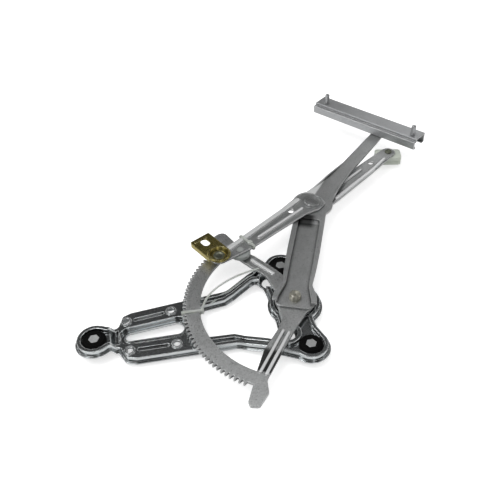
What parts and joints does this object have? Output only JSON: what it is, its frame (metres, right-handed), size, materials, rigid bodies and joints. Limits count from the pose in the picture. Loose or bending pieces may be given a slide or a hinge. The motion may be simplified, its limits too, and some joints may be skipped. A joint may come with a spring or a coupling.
{
  "type": "window regulator",
  "caption": "Scissor window regulator of a car door: pressed base plate, toothed sector, lift arm, equaliser arm and glass rail.",
  "frame": {"origin": "on the main pivot's axis, in the plane of the three mount feet that stand on the door panel", "axes": "+Z away from the door panel; +X from the motor end of the base plate to the main pivot; base plate symmetrical about XZ"},
  "size_m": [0.5023, 0.5087, 0.0571],
  "materials": {
    "zinc_bright": "bright zinc plate",
    "zinc_satin": "satin zinc-plated steel sheet",
    "zinc_yellow": "yellowish zinc plate",
    "gold_chromate": "gold chromate over zinc",
    "black_rubber": "moulded rubber",
    "natural_nylon": "translucent natural nylon",
    "sintered": "sintered steel"
  },
  "bodies": {
    "base": {"base_plate": "zinc_bright", "pivot_stud": "zinc_yellow", "thrust_washer": "zinc_satin", "rubber_mount_left": "black_rubber", "threaded_insert_left": "zinc_satin", "rubber_mount_upper": "black_rubber", "threaded_insert_upper": "zinc_satin", "rubber_mount_lower": "black_rubber", "threaded_insert_lower": "zinc_satin"},
    "lift": {"lift_arm": "zinc_satin", "sector_gear": "zinc_satin", "pivot_bush": "sintered", "rail_pivot_pin": "zinc_satin", "sector_tie": "natural_nylon"},
    "equaliser": {"equaliser_bracket_half": "zinc_satin", "equaliser_slider_half": "zinc_satin", "cross_pivot_stud": "zinc_satin", "cross_washer_upper": "zinc_satin", "cross_spacer_lower": "zinc_satin", "glide_pad": "natural_nylon", "arm_tie": "natural_nylon", "bracket_rivet": "zinc_satin", "slider_rivet": "zinc_satin"},
    "bracket": {"guide_bracket": "gold_chromate"},
    "slider": {"end_slider": "natural_nylon"},
    "shoe": {"rail_shoe": "natural_nylon"},
    "rail": {"glass_rail": "zinc_bright", "rail_stud_far": "zinc_satin", "rail_stud_near": "zinc_satin"}
  },
  "joints": [
    {"name": "main_pivot", "type": "hinge", "parent": "base", "child": "lift", "pos_m": [0, 0, 0.018], "axis": [0, 0, 1], "range_deg": [-48, 56]},
    {"name": "cross_pivot", "type": "hinge", "parent": "lift", "child": "equaliser", "pos_m": [0.06624, 0.14948, 0.025], "axis": [0, 0, 1], "range_deg": [-80, 12]},
    {"name": "bracket_pivot", "type": "hinge", "parent": "equaliser", "child": "bracket", "pos_m": [-0.06878, 0.07859, 0.03], "axis": [0, 0, 1], "range_deg": [-60, 60]},
    {"name": "slider_pivot", "type": "hinge", "parent": "equaliser", "child": "slider", "pos_m": [0.20839, 0.2418, 0.014], "axis": [0, 0, 1], "range_deg": [-75, 75]},
    {"name": "rail_pivot", "type": "hinge", "parent": "lift", "child": "shoe", "pos_m": [0.21434, 0.28758, 0.034], "axis": [0, 0, 1], "range_deg": [-56, 48]},
    {"name": "rail_slide", "type": "slide", "parent": "shoe", "child": "rail", "axis": [0.5934, -0.8049, 0], "range_m": [-0.045, 0.093]}
  ]
}
